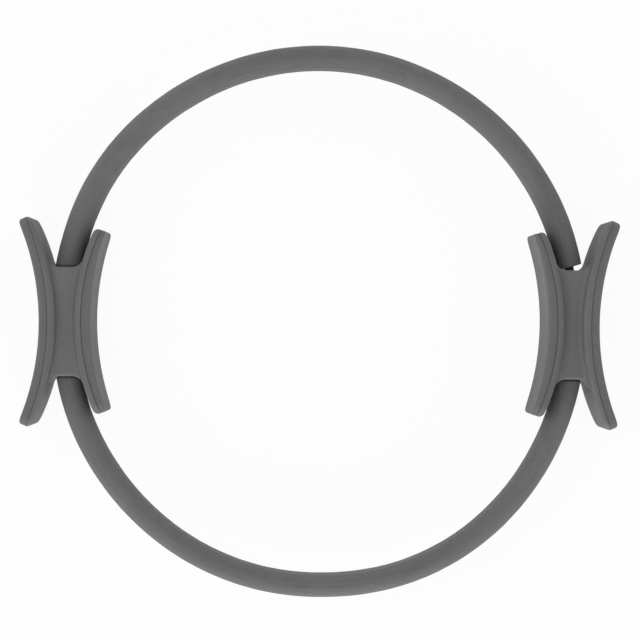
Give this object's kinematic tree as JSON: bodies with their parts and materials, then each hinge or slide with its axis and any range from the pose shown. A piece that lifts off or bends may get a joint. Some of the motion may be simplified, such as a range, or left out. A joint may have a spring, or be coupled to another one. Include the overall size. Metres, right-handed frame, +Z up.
{
  "type": "pilates ring",
  "caption": "Springy foam-sleeved hoop with opposite spool-shaped grip handles, concave padded flanges inside and outside, squeezed between hands or thighs for resistance.",
  "frame": {"origin": "middle of the ring's overall box, on the surface that it lies on", "axes": "+Z up along the ring's axis, +X from the left handle to the right one, +Y to the far half of the hoop"},
  "size_m": [0.3979, 0.3686, 0.06],
  "materials": {
    "strip": "matte glass fibre",
    "sleeve_foam": "matte foam skin",
    "pad_foam": "matte foam skin",
    "shell_plastic": "fine moulded texture",
    "steel": "zinc plated"
  },
  "bodies": {
    "far_hoop": {"far_strip": "strip", "far_sleeve": "sleeve_foam"},
    "left_handle": {"left_outer_shell": "shell_plastic", "left_inner_shell": "shell_plastic", "left_outer_pad": "pad_foam", "left_inner_pad": "pad_foam", "left_far_screws": "steel", "left_near_screws": "steel", "left_far_nuts": "steel", "left_near_nuts": "steel"},
    "right_handle": {"right_outer_shell": "shell_plastic", "right_inner_shell": "shell_plastic", "right_outer_pad": "pad_foam", "right_inner_pad": "pad_foam", "right_far_screws": "steel", "right_far_nuts": "steel"},
    "near_hoop": {"near_strip": "strip", "near_sleeve": "sleeve_foam"},
    "right_near_fixings": {"right_near_screws": "steel", "right_near_nuts": "steel"}
  },
  "joints": [
    {"name": "squeeze", "type": "slide", "parent": "far_hoop", "child": "left_handle", "axis": [0.7359, -0.6771, 0], "range_m": [-0.0204, 0.0408], "stiffness_N_per_m": 5400, "deforming": ["far_strip", "far_sleeve"]},
    {"name": "right_handle_squeeze", "type": "slide", "parent": "far_hoop", "child": "right_handle", "axis": [-0.7359, -0.6771, 0], "range_m": [-0.0204, 0.0408], "deforming": ["far_strip", "far_sleeve"]},
    {"name": "near_hoop_stretch", "type": "slide", "parent": "left_handle", "child": "near_hoop", "axis": [-0.7359, -0.6771, 0], "range_m": [-0.0204, 0.0408], "deforming": ["near_strip", "near_sleeve"]},
    {"name": "near_end_squeeze", "type": "slide", "parent": "near_hoop", "child": "right_near_fixings", "axis": [-0.7359, 0.6771, 0], "range_m": [-0.0204, 0.0408], "deforming": ["near_strip", "near_sleeve"]}
  ],
  "couplings": [
    {"joint": "right_handle_squeeze", "follows": "squeeze", "ratio": 1},
    {"joint": "near_hoop_stretch", "follows": "squeeze", "ratio": 1},
    {"joint": "near_end_squeeze", "follows": "squeeze", "ratio": 1}
  ]
}
